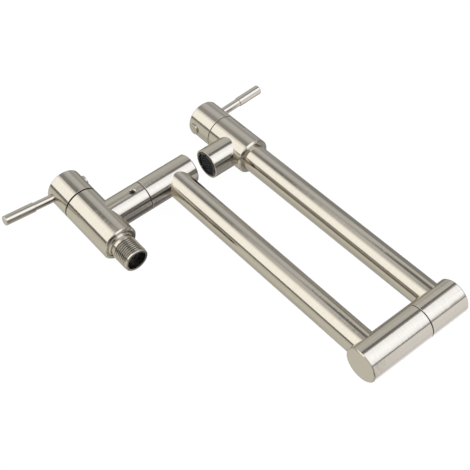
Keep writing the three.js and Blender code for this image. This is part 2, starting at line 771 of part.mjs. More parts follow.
// ---------------------------------------------------------------- spout and aerator
{
  const mouth = spoutDrop;
  const pocket = spoutDiameter / 2 - spoutLip;
  const aeratorRadius = pocket - seam;
  const aeratorStart = mouth + aeratorProud - aeratorLength;
  const sealStart = aeratorStart - seam - aeratorSealThickness;
  const pocketStart = sealStart - seam;
  const spoutRadius = spoutDiameter / 2;
  piece(spoutValve, 'spout_tube', cut(
    joined(alongY(turnedRing([
      [spoutBore / 2, 0],
      [spoutRadius, 0],
      [spoutRadius, mouth - edgeBreak],
      [spoutRadius - edgeBreak, mouth],
      [pocket, mouth],
      [pocket, pocketStart],
      [spoutBore / 2, pocketStart],
    ]))),
    rod(valveRadius + seam, -valveDiameter, valveDiameter),
  ), brushed);

  const insideRadius = aeratorRadius - aeratorWall;
  const lipRadius = insideRadius - aeratorLipWidth;
  const rim = mouth + aeratorProud;
  const grilleEnd = rim - grilleRecess;
  const grilleStart = grilleEnd - grilleThickness;
  const lipStart = grilleStart - seam - grilleThickness;
  const notchReach = 2 * (aeratorWall + overcut);
  const notches = Array.from({ length: aeratorNotches }, (_, i) =>
    block(notchWidth, notchReach, 2 * notchDepth, 0, aeratorRadius, rim)
      .rotateZ((2 * Math.PI * i) / aeratorNotches));
  piece(spoutValve, 'aerator_housing', cut(
    joined(alongY(turnedRing([
      [insideRadius, aeratorStart],
      [aeratorRadius, aeratorStart],
      [aeratorRadius, rim - edgeBreak],
      [aeratorRadius - edgeBreak, rim],
      [insideRadius, rim],
      [insideRadius, grilleStart - seam],
      [lipRadius, grilleStart - seam],
      [lipRadius, lipStart],
      [insideRadius, lipStart],
    ], innerSides))),
    ...notches.map(alongY),
  ), blackPlastic);
  piece(spoutValve, 'aerator_seal', joined(alongY(
    pipe(aeratorRadius, insideRadius, sealStart, sealStart + aeratorSealThickness, innerSides),
  )), rubber);

  // Grille: a black disc pierced by a hexagonal field of round holes.
  const grilleRadius = insideRadius - pressGap;
  const holes = hexPattern(grillePitch, grilleRadius - grilleMargin - grilleHoleDiameter / 2)
    .map(([x, y]) => alongY(
      rod(grilleHoleDiameter / 2, grilleStart - overcut, grilleEnd + overcut, holeSides)
        .translate(x, y, 0),
    ));
  piece(spoutValve, 'aerator_grille', cut(
    joined(alongY(rod(grilleRadius, grilleStart, grilleEnd, innerSides))),
    ...holes,
  ), blackPlastic);
}

export default potFiller;
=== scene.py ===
import json
import math

import bmesh
import bpy
from mathutils import Matrix, Vector

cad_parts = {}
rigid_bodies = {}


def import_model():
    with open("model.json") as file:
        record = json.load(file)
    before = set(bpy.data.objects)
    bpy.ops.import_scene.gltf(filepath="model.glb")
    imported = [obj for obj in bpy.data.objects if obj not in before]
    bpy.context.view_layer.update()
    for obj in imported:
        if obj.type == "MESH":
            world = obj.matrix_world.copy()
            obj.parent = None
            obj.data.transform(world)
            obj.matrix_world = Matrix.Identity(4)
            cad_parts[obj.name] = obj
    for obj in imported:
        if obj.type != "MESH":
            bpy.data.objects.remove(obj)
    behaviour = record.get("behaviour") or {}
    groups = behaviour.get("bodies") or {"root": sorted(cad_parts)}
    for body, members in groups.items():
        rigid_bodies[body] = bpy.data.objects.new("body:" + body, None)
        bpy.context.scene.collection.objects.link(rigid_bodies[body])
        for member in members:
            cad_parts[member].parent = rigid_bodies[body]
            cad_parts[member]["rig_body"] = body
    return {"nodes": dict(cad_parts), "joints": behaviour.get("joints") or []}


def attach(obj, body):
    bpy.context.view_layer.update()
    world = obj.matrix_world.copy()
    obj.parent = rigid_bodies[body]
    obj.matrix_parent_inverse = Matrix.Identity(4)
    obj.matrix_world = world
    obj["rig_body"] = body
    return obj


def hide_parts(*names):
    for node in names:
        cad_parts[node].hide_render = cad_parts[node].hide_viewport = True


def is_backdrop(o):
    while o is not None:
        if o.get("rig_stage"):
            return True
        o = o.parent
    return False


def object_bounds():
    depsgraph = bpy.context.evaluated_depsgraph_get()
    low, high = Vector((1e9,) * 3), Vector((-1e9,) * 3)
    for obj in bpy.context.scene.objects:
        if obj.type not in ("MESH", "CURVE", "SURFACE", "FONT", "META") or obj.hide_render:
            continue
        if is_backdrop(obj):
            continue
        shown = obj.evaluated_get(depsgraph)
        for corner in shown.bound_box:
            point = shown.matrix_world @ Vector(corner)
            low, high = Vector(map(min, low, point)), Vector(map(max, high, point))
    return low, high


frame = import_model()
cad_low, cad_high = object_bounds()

scene = bpy.context.scene
scene.view_settings.view_transform = "Standard"

# ---------------------------------------------------------------- camera
# The folded tap lies on its side, on the side away from +X. It is seen from above, from the end
# with the thread, with the upright of the wall valve running to the upper right.
eye = Vector((0.6963, 0.4591, -0.2844))
aim = Vector((0, 0.0476, 0.0721))
roll = math.radians(56.92)

lens = bpy.data.cameras.new("camera")
lens.sensor_width = 36
lens.lens = 89.23
camera = bpy.data.objects.new("camera", lens)
facing = (aim - eye).to_track_quat("-Z", "Y").to_matrix().to_4x4()
camera.matrix_world = Matrix.Translation(eye) @ facing @ Matrix.Rotation(roll, 4, "Z")
scene.collection.objects.link(camera)
scene.camera = camera

# ---------------------------------------------------------------- table and light
# A white table just under the tap, a white room, and soft panels and flags that the metal reflects.
# The camera sees the white room through most of the table, which still takes a faint shadow, and
# the metal looks past the table to the room and the panels.
room_on_matt = 0.44  # strength of the room's light on matt surfaces
room_on_metal = 0.8  # and in reflections; the camera sees it at 1, which is white
table_gap = 0.0005  # below the lowest point of the tap
table_reach = 1.2
table_white = 0.9
table_cover = 0.1  # share of the table that the camera sees over the room's white
table_lift = 0.62  # its own glow, which keeps it white


def add_node(tree, kind, inputs=None, **settings):
    """Adds a shader node. An input is a value, or the socket that feeds it."""
    made = tree.nodes.new("ShaderNode" + kind)
    for name, value in settings.items():
        setattr(made, name, value)
    for name, value in (inputs or {}).items():
        if isinstance(value, bpy.types.NodeSocket):
            tree.links.new(value, made.inputs[name])
        else:
            made.inputs[name].default_value = value
    return made


def seen_ray(tree):
    """1 for rays from the camera and rays off gloss or through glass, and 0 for the rest."""
    path = add_node(tree, "LightPath").outputs
    seen = path["Is Camera Ray"]
    for kind in ("Is Glossy Ray", "Is Transmission Ray"):
        seen = add_node(
            tree, "Math", {0: seen, 1: path[kind]}, operation="ADD", use_clamp=True
        ).outputs[0]
    return seen


def new_tree(owner):
    owner.use_nodes = True
    owner.node_tree.nodes.clear()
    return owner.node_tree


def new_object(name, mesh):
    made = bpy.data.objects.new(name, mesh)
    scene.collection.objects.link(made)
    return made


room = bpy.data.worlds.new("room")
scene.world = room
room.cycles.sampling_method = "NONE"
tree = new_tree(room)
off_camera = add_node(
    tree, "MapRange", {"Value": seen_ray(tree), "To Min": room_on_matt, "To Max": room_on_metal}
)
to_camera = add_node(tree, "LightPath").outputs["Is Camera Ray"]
strength = add_node(
    tree, "MapRange", {"Value": to_camera, "To Min": off_camera.outputs[0], "To Max": 1.0}
)
background = add_node(
    tree, "Background", {"Color": (1, 1, 1, 1), "Strength": strength.outputs[0]}
)
add_node(tree, "OutputWorld", {"Surface": background.outputs[0]})


def flat_sheet(name, corners):
    shape = bmesh.new()
    face = shape.faces.new([shape.verts.new(corner) for corner in corners])
    layer = shape.loops.layers.uv.new("across")
    for loop, place in zip(face.loops, ((0, 0), (1, 0), (1, 1), (0, 1))):
        loop[layer].uv = place
    mesh = bpy.data.meshes.new(name)
    shape.to_mesh(mesh)
    shape.free()
    made = new_object(name, mesh)
    made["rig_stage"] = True
    return made


table_level = cad_low.x - table_gap
table_middle = (cad_low + cad_high) / 2
table = flat_sheet("table", [
    (table_level, table_middle.y + table_reach * y, table_middle.z + table_reach * z)
    for y, z in ((-1, -1), (1, -1), (1, 1), (-1, 1))
])
material = bpy.data.materials.new("table_white")
tree = new_tree(material)
path = add_node(tree, "LightPath").outputs
matt = add_node(tree, "BsdfDiffuse", {"Color": (table_white, table_white, table_white, 1)})
lift = add_node(tree, "Emission", {"Strength": table_lift})
lit = add_node(tree, "AddShader", {0: matt.outputs[0], 1: lift.outputs[0]})
clear = add_node(tree, "BsdfTransparent")
thinned = add_node(
    tree, "Math", {0: path["Is Camera Ray"], 1: 1 - table_cover}, operation="MULTIPLY"
)
past = add_node(
    tree, "Math", {0: thinned.outputs[0], 1: path["Is Glossy Ray"]},
    operation="ADD", use_clamp=True,
)
veiled = add_node(tree, "MixShader", {0: past.outputs[0], 1: lit.outputs[0], 2: clear.outputs[0]})
back = add_node(tree, "NewGeometry").outputs["Backfacing"]
whole = add_node(tree, "MixShader", {0: back, 1: veiled.outputs[0], 2: clear.outputs[0]})
add_node(tree, "OutputMaterial", {"Surface": whole.outputs[0]})
table.data.materials.append(material)


def light_card(name, corners, colour, stops, lights_matt=True):
    """A glowing sheet that only the tap sees. Its stops are pairs of place and strength, from the
    edge between its first two corners on."""
    card = flat_sheet(name, corners)
    card.visible_camera = card.visible_shadow = False
    card.visible_diffuse = lights_matt
    material = bpy.data.materials.new(name)
    tree = new_tree(material)
    across = add_node(tree, "TexCoord").outputs["UV"]
    split = add_node(tree, "SeparateXYZ", {"Vector": across})
    strongest = max(strength for _, strength in stops)
    ramp = add_node(tree, "ValToRGB", {"Fac": split.outputs["Y"]})
    elements = ramp.color_ramp.elements
    while len(elements) < len(stops):
        elements.new(1.0)
    for element, (place, strength) in zip(elements, stops):
        element.position = place
        share = strength / strongest
        element.color = (share, share, share, 1)
    power = add_node(tree, "Math", {0: ramp.outputs["Color"], 1: strongest}, operation="MULTIPLY")
    glow = add_node(tree, "Emission", {"Color": (*colour, 1), "Strength": power.outputs[0]})
    add_node(tree, "OutputMaterial", {"Surface": glow.outputs[0]})
    card.data.materials.append(material)


white = (1, 1, 1)
pale = (0.96, 0.97, 1.0)
faint_blue = (0.95, 0.95, 1.0)
cool = (0.85, 0.89, 1.0)
warm = (1, 0.99, 0.92)
# The two bright panels make the broad bands of light along the tubes. The others make the greys
# and the dark lines between them.
light_card("long_panel", [
    (0.73, -0.85, 0), (0.73, 0.1, 0), (0.23, 0.1, -0.66), (0.23, -0.85, -0.66),
], white, [(0, 0.9), (0.3, 1.68), (1, 1.68)])
light_card("side_panel", [
    (0.72, -0.02, 0), (0.72, -0.02, 0.9), (1.28, 2.28, 1.4), (1.28, 2.28, 0),
], cool, [(0, 1.8), (0.08, 1.92), (0.2, 2.1), (0.35, 2.1), (0.6, 1.9), (1, 1.8)])
light_card("grey_wall", [
    (0.68, -0.85, 0.30), (0.68, -0.25, 0.30), (0.20, -0.25, 0.78), (0.20, -0.85, 0.78),
], pale, [(0, 0.55), (0.25, 0.74), (0.5, 0.84), (0.75, 0.72), (1, 0.35)], False)
light_card("dim_ceiling", [
    (0.76, -0.9, -0.1), (0.76, -0.9, 0.6), (0.76, -0.03, 0.6), (0.76, -0.03, -0.1),
], white, [
    (0, 0.5), (0.3, 0.42), (0.37, 0.3), (0.41, 0.2), (0.45, 0.32), (0.49, 0.72), (0.62, 0.84),
    (0.76, 0.8), (0.82, 0.42), (1, 0.38),
], False)
light_card("dark_corner", [
    (0.75, -0.37, 0.36), (0.75, -0.15, 0.36), (0.75, -0.15, 0.8), (0.75, -0.37, 0.8),
], white, [(0, 0.22), (1, 0.22)], False)
light_card("dark_strip", [
    (0.23, -0.85, -0.66), (0.23, 0.1, -0.66), (0.05, 0.1, -0.68), (0.05, -0.85, -0.68),
], warm, [(0, 0.22), (1, 0.3)], False)
light_card("end_wall", [
    (-1.3, -1.3, -1.3), (-1.3, -1.3, 1.3), (0.5, -1.3, 1.3), (0.5, -1.3, -1.3),
], warm, [(0, 0.33), (0.5, 0.4), (0.72, 0.7), (1, 0.75)], False)
light_card("top_wall", [
    (0.5, -1.3, 1.3), (-0.4, -1.3, 1.3), (-0.4, 1.3, 1.3), (0.5, 1.3, 1.3),
], white, [(0, 0.6), (0.18, 0.6), (0.25, 0.36), (1, 0.36)], False)
light_card("low_flag", [
    (-0.4, -1.5, 1.3), (-0.4, -1.5, 0.15), (-0.4, 0.15, 0.15), (-0.4, 0.15, 1.3),
], white, [(0, 0.33), (1, 0.33)], False)
light_card("low_bounce", [
    (-0.4, -1.5, 0.15), (-0.4, 0.5, 0.15), (0.05, 0.5, -1.0), (0.05, -1.5, -1.0),
], warm, [(0, 0.6), (0.22, 0.66), (0.35, 0.88), (0.6, 0.88), (1, 0.75)], False)
# The far wall stands beyond the elbow in strips, each between two angles in degrees from +Y
# towards -X. A strip is dim below one level and bright above it.
far_distance = 6
far_reach = 6
far_elevation = math.radians(24)  # of the level where the dark ends
far_split = 0.5 + math.tan(far_elevation) * far_distance / (2 * far_reach)
far_blur = 0.016
up = Vector((0, 0, far_reach))
for name, start, end, shade, glow in (
    ("line", -24.5, -20.5, 0.12, 0.1), ("gap", -20.5, -8, 0.2, 1.25), ("first", -8, 6, 0.3, 1.25),
    ("second", 6, 38, 0.36, 1.2), ("third", 38, 72, 0.14, 1.05), ("fourth", 72, 105, 0.3, 1.3),
):
    edge_distance = far_distance / math.cos(math.radians(end - start) / 2)
    near, far = (
        edge_distance * Vector((-math.sin(turn), math.cos(turn), 0))
        for turn in (math.radians(start), math.radians(end))
    )
    light_card("far_wall_" + name, [near - up, far - up, far + up, near + up], faint_blue, [
        (0, shade), (far_split - far_blur, shade), (far_split + far_blur, glow), (1, glow),
    ], False)
# These shade the spout's lower side, light the foot of the elbow and close the room below.
light_card("spout_flag", [
    (0.145, 0.24, 0.177), (0.145, 0.24, 0.28), (-0.326, 0.082, 0.28), (-0.326, 0.082, 0.177),
], white, [(0, 0.25), (0.35, 0.25), (0.45, 0.42), (1, 0.45)], False)
light_card("end_bounce", [
    (-0.275, 0.035, -0.04), (-0.275, 0.15, -0.04), (-0.25, 0.15, -0.125), (-0.25, 0.035, -0.125),
], warm, [(0, 0.8), (1, 0.92)], False)
light_card("under_panel", [
    (-0.1, 1.3, -1.3), (0.85, 1.3, -1.3), (0.85, 1.3, -0.05), (-0.1, 1.3, -0.05),
], white, [(0, 0.3), (0.5, 0.08), (1, 0.05)], False)

# ---------------------------------------------------------------- wall valve body
# One casting of brushed nickel over brass: a round body that lies along the tap's Y axis, and an
# upright stub for the shoulder. It is bored through for the cartridge and the inlet nipple.
mm = 0.001
along_y, along_z = Vector((0, 1, 0)), Vector((0, 0, 1))
joints = {joint["name"]: joint for joint in frame["joints"]}
shoulder_axis = Vector(joints["shoulder_swivel"]["pos_m"])

valve_radius = 15
rear_chamfer = 1.5
edge_break = 0.4
edge_round = 0.12
fine_round = 0.08
crisp = 0.1  # chamfer on the two edges that face each other across a handle's gap
seam = 0.3  # between fixed pieces, where the real ones touch
wall_rear_length = 27.2
wall_front_length = 23
collar_seat_radius = 11.6
collar_seat_depth = 1
nipple_socket = 10.3
socket_floor = 14
seat_depth = 11
waterway_radius = 7.5
cartridge_bore = 9.3
nut_bore = 12.3
nut_bore_start = 7.6
stub_radius = 12.5
stub_top = 41.2
spigot_bore = 9.6
swivel_screw_radius = 2
swivel_screw_depth = 9.3
screw_countersink = 0.5
screw_inset = 0.2  # the countersink has that width this far under the round surface's crown
overcut = 1
circle_steps = 128
merge_distance = 0.0001
crease = math.radians(24)
end_lean = 0.9999  # a face that leans further along an axis than this is an end face
side_lean = 0.001  # and one that leans less than this can be part of a round side
same_radius = 0.01 * mm

nickel = (0.54, 0.50, 0.425)
bare_bore = (0.62, 0.50, 0.30)
nickel_roughness = 0.12
groove_shade = 0.12  # painted shade: share of the metal's colour left at the bottom of a thread
noise_range = (0.3, 0.7)  # a noise texture stays in it nearly everywhere


def seat(origin, y_axis, z_axis):
    """Takes millimetres along a piece's own axes to metres in the tap's frame."""
    turn = Matrix((y_axis.cross(z_axis), y_axis, z_axis)).transposed()
    return Matrix.LocRotScale(origin, turn.to_quaternion(), Vector((mm, mm, mm)))


def turned(outline, ring=False):
    """A turned solid about Z. The outline's [radius, height] corners start and end on the axis,
    or go once round a ring's section."""
    shape = bmesh.new()
    corners = [shape.verts.new((radius, 0, height)) for radius, height in outline]
    pairs = list(zip(corners, corners[1:])) + ([(corners[-1], corners[0])] if ring else [])
    edges = [shape.edges.new(pair) for pair in pairs]
    bmesh.ops.spin(
        shape, geom=corners + edges, cent=(0, 0, 0), axis=along_z, angle=math.tau,
        steps=circle_steps, use_merge=True,
    )
    bmesh.ops.remove_doubles(shape, verts=shape.verts, dist=merge_distance)
    bmesh.ops.recalc_face_normals(shape, faces=shape.faces)
    return shape


def rod(radius, start, end):
    return turned([(0, start), (radius, start), (radius, end), (0, end)])


def pipe(outer, inner, start, end):
    return turned([(inner, start), (outer, start), (outer, end), (inner, end)], ring=True)


def lay(shape, matrix):
    bmesh.ops.transform(shape, matrix=matrix, verts=shape.verts)
    return shape


def to_y(shape):
    """Lays a shape made along +Z along +Y."""
    return lay(shape, Matrix.Rotation(-math.pi / 2, 4, "X"))


def to_x(shape):
    """Lays a shape made along +Z along +X."""
    return lay(shape, Matrix.Rotation(math.pi / 2, 4, "Y"))


def soften(shape, width=edge_round, segments=2):
    """Rounds every sharp edge."""
    sharp = [
        edge for edge in shape.edges
        if len(edge.link_faces) == 2 and edge.calc_face_angle() > crease
    ]
    bmesh.ops.bevel(
        shape, geom=sharp, offset=width, offset_type="OFFSET", affect="EDGES",
        segments=segments, profile=0.5, material=-1,
    )
    return shape


def combine(shape, operation, tools):
    """The shape with the tools joined to it or cut out of it. The tools are used up."""
    held = []
    for one in (shape, *tools):
        mesh = bpy.data.meshes.new("held")
        one.to_mesh(mesh)
        one.free()
        held.append(new_object("held", mesh))
    for tool in held[1:]:
        modifier = held[0].modifiers.new("combine", "BOOLEAN")
        modifier.solver = "EXACT"
        modifier.operation = operation
        modifier.object = tool
    made = bmesh.new()
    made.from_object(held[0], bpy.context.evaluated_depsgraph_get())
    for one in held:
        mesh = one.data
        bpy.data.objects.remove(one)
        bpy.data.meshes.remove(mesh)
    return made


def cut(shape, *tools):
    return combine(shape, "DIFFERENCE", tools)


def join(shape, *tools):
    return combine(shape, "UNION", tools)


def true_faces(mesh, origin, axes, bore_slot):
    """Aims the shading of turned faces exactly away from their axis, so that reflections run
    straight, and gives each face the finish of its axis, or of the bores."""
    normals = [corner.vector.copy() for corner in mesh.corner_normals]
    for face in mesh.polygons:
        for slot, axis in enumerate(axes):
            lean = face.normal.dot(axis)
            if abs(lean) > end_lean:
                face.material_index = slot
                for index in face.loop_indices:
                    normals[index] = face.normal.copy()
            if abs(lean) > side_lean:
                continue
            arms = []
            for index in face.loop_indices:
                offset = mesh.vertices[mesh.loops[index].vertex_index].co - origin
                arms.append(offset - axis * offset.dot(axis))
            lengths = [arm.length for arm in arms]
            if max(lengths) - min(lengths) < same_radius and min(lengths) > 0:
                outside = sum(arms, Vector()).dot(face.normal) > 0
                face.material_index = slot if outside or bore_slot is None else bore_slot
                for index, arm in zip(face.loop_indices, arms):
                    normals[index] = arm.normalized() if outside else -arm.normalized()
    mesh.normals_split_custom_set(normals)


def add_piece(node, shape, place, finishes, axes=(along_z,), bored=False):
    """Puts a finished shape in the place of a CAD node, on the node's own body."""
    mesh = bpy.data.meshes.new(node + "_fine")
    shape.to_mesh(mesh)
    shape.free()
    mesh.transform(place)
    for finish in finishes:
        mesh.materials.append(finish)
    mesh.shade_smooth()
    mesh.set_sharp_from_angle(angle=crease)
    turn = place.to_quaternion()
    bore_slot = len(finishes) - 1 if bored else None
    true_faces(mesh, place.translation, [turn @ axis for axis in axes], bore_slot)
    piece = new_object(node + "_fine", mesh)
    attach(piece, frame["nodes"][node]["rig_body"])
    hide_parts(node)
    return piece


# Brushing: fine lines round an axis, which tilt the surface along it.
brushing = bpy.data.node_groups.new("brushing", "ShaderNodeTree")
for name, kind, value in (
    ("Axis", "NodeSocketVector", (0, 0, 1)),
    ("Centre", "NodeSocketVector", (0, 0, 0)),
    ("Lines per mm", "NodeSocketFloat", 2.5),
    ("Strokes round", "NodeSocketFloat", 2.5),
    ("Tilt", "NodeSocketFloat", 0.2),
):
    socket = brushing.interface.new_socket(name=name, in_out="INPUT", socket_type=kind)
    socket.default_value = value
for name, kind in (
    ("Normal", "NodeSocketVector"), ("Tone", "NodeSocketFloat"), ("Radius", "NodeSocketFloat"),
):
    brushing.interface.new_socket(name=name, in_out="OUTPUT", socket_type=kind)


def vector_math(tree, operation, first, second=None, scale=None):
    inputs = {0: first}
    if second is not None:
        inputs[1] = second
    if scale is not None:
        inputs["Scale"] = scale
    made = add_node(tree, "VectorMath", inputs, operation=operation)
    return made.outputs["Value" if operation in ("DOT_PRODUCT", "LENGTH") else "Vector"]


def value_math(tree, operation, first, second):
    return add_node(tree, "Math", {0: first, 1: second}, operation=operation).outputs[0]


def spread(tree, value, source, target):
    """Maps a value from one range to another."""
    return add_node(tree, "MapRange", {
        "Value": value, "From Min": source[0], "From Max": source[1],
        "To Min": target[0], "To Max": target[1],
    }).outputs[0]


def uneven(roughness):
    """The least and the most of a roughness that varies over a surface."""
    return roughness * 0.85, roughness * 1.15


given = brushing.nodes.new("NodeGroupInput").outputs
coordinates = add_node(brushing, "TexCoord").outputs
offset = vector_math(brushing, "SUBTRACT", coordinates["Object"], given["Centre"])
height = vector_math(brushing, "DOT_PRODUCT", offset, given["Axis"])
lifted = vector_math(brushing, "SCALE", given["Axis"], scale=height)
radial = vector_math(brushing, "SUBTRACT", offset, lifted)
radius = vector_math(brushing, "LENGTH", radial)
outward = vector_math(brushing, "NORMALIZE", radial)
run = value_math(brushing, "ADD", height, radius)
run_mm = value_math(brushing, "MULTIPLY", run, 1 / mm)
lines = value_math(brushing, "MULTIPLY", run_mm, given["Lines per mm"])
line_place = vector_math(brushing, "SCALE", given["Axis"], scale=lines)
stroke_place = vector_math(brushing, "SCALE", outward, scale=given["Strokes round"])
place = vector_math(brushing, "ADD", line_place, stroke_place)
noise = add_node(
    brushing, "TexNoise", {"Vector": place, "Scale": 1.0, "Detail": 4.0, "Roughness": 0.6}
).outputs["Fac"]
centred = value_math(brushing, "SUBTRACT", noise, 0.5)
tilt = value_math(brushing, "MULTIPLY", centred, given["Tilt"])
around = vector_math(brushing, "CROSS_PRODUCT", given["Axis"], outward)
crosswise = vector_math(brushing, "CROSS_PRODUCT", around, coordinates["Normal"])
push = vector_math(brushing, "SCALE", crosswise, scale=tilt)
tilted = vector_math(brushing, "ADD", coordinates["Normal"], push)
unit = vector_math(brushing, "NORMALIZE", tilted)
turned_out = add_node(
    brushing, "VectorTransform", {"Vector": unit},
    vector_type="NORMAL", convert_from="OBJECT", convert_to="WORLD",
).outputs[0]
result = brushing.nodes.new("NodeGroupOutput")
brushing.links.new(turned_out, result.inputs["Normal"])
brushing.links.new(noise, result.inputs["Tone"])
brushing.links.new(radius, result.inputs["Radius"])


def brushed(
    name, place, axis=along_z, colour=nickel, roughness=nickel_roughness, lines=2.5, tilt=0.12,
    groove=None,
):
    """Brushed or machined metal with its lines round an axis of the piece. A groove is the pair of
    distances from the axis between which a painted shade fades from dark to the metal's own colour."""
    material = bpy.data.materials.new(name)
    tree = new_tree(material)
    group = add_node(tree, "Group", node_tree=brushing)
    group.inputs["Axis"].default_value = place.to_quaternion() @ axis
    group.inputs["Centre"].default_value = place.translation
    group.inputs["Lines per mm"].default_value = lines
    group.inputs["Tilt"].default_value = tilt
    tone = spread(tree, group.outputs["Tone"], noise_range, (0.94, 1.05))
    if groove:
        depths = [distance * mm for distance in groove]
        # painted shade: the colour darkens towards the root of a thread
        painted_groove_shade = spread(tree, group.outputs["Radius"], depths, (groove_shade, 1.0))
        tone = value_math(tree, "MULTIPLY", tone, painted_groove_shade)
    paint = vector_math(tree, "SCALE", colour, scale=tone)
    rough = spread(tree, group.outputs["Tone"], noise_range, uneven(roughness))
    surface = add_node(tree, "BsdfPrincipled", {
        "Base Color": paint, "Roughness": rough, "Metallic": 1.0, "Normal": group.outputs["Normal"],
    })
    add_node(tree, "OutputMaterial", {"Surface": surface.outputs[0]})
    return material


wall_valve = seat(shoulder_axis, along_z, -along_y)


def valve_outline(rear, front):
    return [
        (0, -rear),
        (valve_radius - rear_chamfer, -rear),
        (valve_radius, -rear + rear_chamfer),
        (valve_radius, front - crisp),
        (valve_radius - crisp, front),
        (0, front),
    ]


def valve_bore(rear, front, socket_radius):
    return turned([
        (0, -rear - overcut),
        (socket_radius, -rear - overcut),
        (socket_radius, -socket_floor),
        (waterway_radius, -socket_floor),
        (waterway_radius, -seat_depth),
        (cartridge_bore, -seat_depth),
        (cartridge_bore, nut_bore_start),
        (nut_bore, nut_bore_start),
        (nut_bore, front + overcut),
        (0, front + overcut),
    ])


def screw_hole(radius, end, side=1):
    """A cross hole along X with a small countersink where it leaves the surface."""
    return lay(to_x(turned([
        (0, 0),
        (radius, 0),
        (radius, end - screw_countersink),
        (radius + screw_countersink + overcut, end + overcut),
        (0, end + overcut),
    ])), Matrix.Rotation(0 if side > 0 else math.pi, 4, "Z"))


body = join(
    soften(turned(valve_outline(wall_rear_length, wall_front_length))),
    to_y(soften(turned([
        (0, 0), (stub_radius, 0), (stub_radius, stub_top - edge_break / 2),
        (stub_radius - edge_break / 2, stub_top), (0, stub_top),
    ]), fine_round)),
)
swivel_screw_place = Matrix.Translation((0, stub_top - swivel_screw_depth, 0))
collar_seat_floor = -wall_rear_length + collar_seat_depth
body = cut(
    body,
    valve_bore(wall_rear_length, wall_front_length, nipple_socket),
    rod(collar_seat_radius, -wall_rear_length - overcut, collar_seat_floor),
    to_y(rod(spigot_bore, 0, stub_top + overcut)),
    lay(screw_hole(swivel_screw_radius + seam, stub_radius - screw_inset), swivel_screw_place),
)
wall_metal = brushed("wall_valve_nickel", wall_valve)
stub_metal = brushed("wall_stub_nickel", wall_valve, along_y)
wall_bores = brushed("wall_bores", wall_valve, colour=bare_bore, roughness=0.3)
add_piece(
    "wall_valve_body", body, wall_valve,
    [wall_metal, stub_metal, wall_bores], axes=(along_z, along_y), bored=True,
)

# ---------------------------------------------------------------- inlet nipple
# A turned nipple with a G1/2 outside thread, 14 turns to the inch. Its collar sits in the
# counterbore of the valve body. The open end is plain, with a thin bright lip round the bore.
nipple_length = 20
nipple_bore = 8.2
nipple_plain = 10.1
nipple_root = 10
nipple_collar = 11.3
collar_height = 1.4
thread_pitch = 25.4 / 14
thread_depth = 1.15
thread_crest = 10.45
thread_length = 13.9
thread_from_end = 1.8
thread_flank = math.radians(27.5)
thread_steps = 72
thread_rounding = 0.1
thread_sink = 0.1  # from the thread's root down to the core that carries it
thread_wall = 0.5  # from the bore out to the thread's own solid
root_shade_height = 0.1  # painted shade makes the roots dark up to this height
crest_unshaded_depth = 0.25  # and leaves the crests unshaded down to this depth
inlet_seal_thickness = 1.5


def threaded_rod(start, end):
    """A solid with a true helical thread, cut square at both ends."""
    root = thread_crest - thread_depth
    slope = thread_depth * math.tan(thread_flank)
    flat = thread_pitch / 2 - slope
    outline = [
        (root, 0), (root, flat), (thread_crest, flat + slope),
        (thread_crest, 2 * flat + slope), (root, thread_pitch),
    ]
    turns = math.ceil((end - start) / thread_pitch) + 2
    shape = bmesh.new()
    corners = [shape.verts.new((r, 0, start - thread_pitch + z)) for r, z in outline]
    edges = [shape.edges.new(pair) for pair in zip(corners, corners[1:])]
    bmesh.ops.spin(
        shape, geom=corners + edges, cent=(0, 0, 0), axis=along_z, angle=math.tau * turns,
        steps=thread_steps * turns, dvec=(0, 0, thread_pitch / thread_steps),
    )
    bmesh.ops.remove_doubles(shape, verts=shape.verts, dist=10 * merge_distance)
    soften(shape, thread_rounding)
    for level, side in ((start, -1), (end, 1)):
        whole = shape.verts[:] + shape.edges[:] + shape.faces[:]
        bmesh.ops.bisect_plane(
            shape, geom=whole, plane_co=(0, 0, level), plane_no=(0, 0, side), clear_outer=True,
        )
        rim = [edge for edge in shape.edges if edge.is_boundary and all(
            abs(corner.co.z - level) < 10 * merge_distance for corner in edge.verts)]
        bmesh.ops.edgeloop_fill(shape, edges=rim)
    bmesh.ops.recalc_face_normals(shape, faces=shape.faces)
    return shape


nipple_end = -wall_rear_length - nipple_length
thread_end = nipple_end + thread_from_end
thread_start = thread_end + thread_length
collar_foot = collar_seat_floor - seam
root_end = -socket_floor - inlet_seal_thickness - 2 * seam
thread_core = thread_crest - thread_depth
nipple = soften(turned([
    (nipple_bore, nipple_end),
    (nipple_plain - edge_break, nipple_end),
    (nipple_plain, nipple_end + edge_break),
    (nipple_plain, thread_end),
    (thread_core - thread_sink, thread_end),
    (thread_core - thread_sink, thread_start),
    (nipple_plain, thread_start),
    (nipple_plain, collar_foot - collar_height),
    (nipple_collar, collar_foot - edge_break),
    (nipple_collar, collar_foot),
    (nipple_root, collar_foot),
    (nipple_root, root_end),
    (nipple_bore, root_end),
], ring=True))
thread_inside = nipple_bore + thread_wall
thread = cut(
    threaded_rod(thread_end, thread_start),
    rod(thread_inside, nipple_end, thread_start + overcut),
)
plating = dict(roughness=0.13, lines=1.5, tilt=0.1)
nipple_metal = brushed("nipple_plating", wall_valve, **plating)
# painted shade: the nipple's bore is a dark grey, far darker than the other bores, for the shade
# deep inside it
shaded_nipple_inside = brushed("nipple_bore", wall_valve, colour=(0.24, 0.22, 0.19), roughness=0.26)
nipple_piece = add_piece(
    "inlet_nipple", join(nipple, thread), wall_valve,
    [nipple_metal, shaded_nipple_inside], bored=True,
)
# The thread's own finish paints shade into its roots.
nipple_piece.data.materials.append(brushed(
    "nipple_thread_painted_shade", wall_valve, **plating,
    groove=(thread_core + root_shade_height, thread_crest - crest_unshaded_depth),
))
thread_slot = len(nipple_piece.data.materials) - 1
to_valve = wall_valve.inverted()
for face in nipple_piece.data.polygons:
    centre = to_valve @ face.center
    if thread_end < centre.z < thread_start and centre.xy.length > thread_inside:
        face.material_index = thread_slot

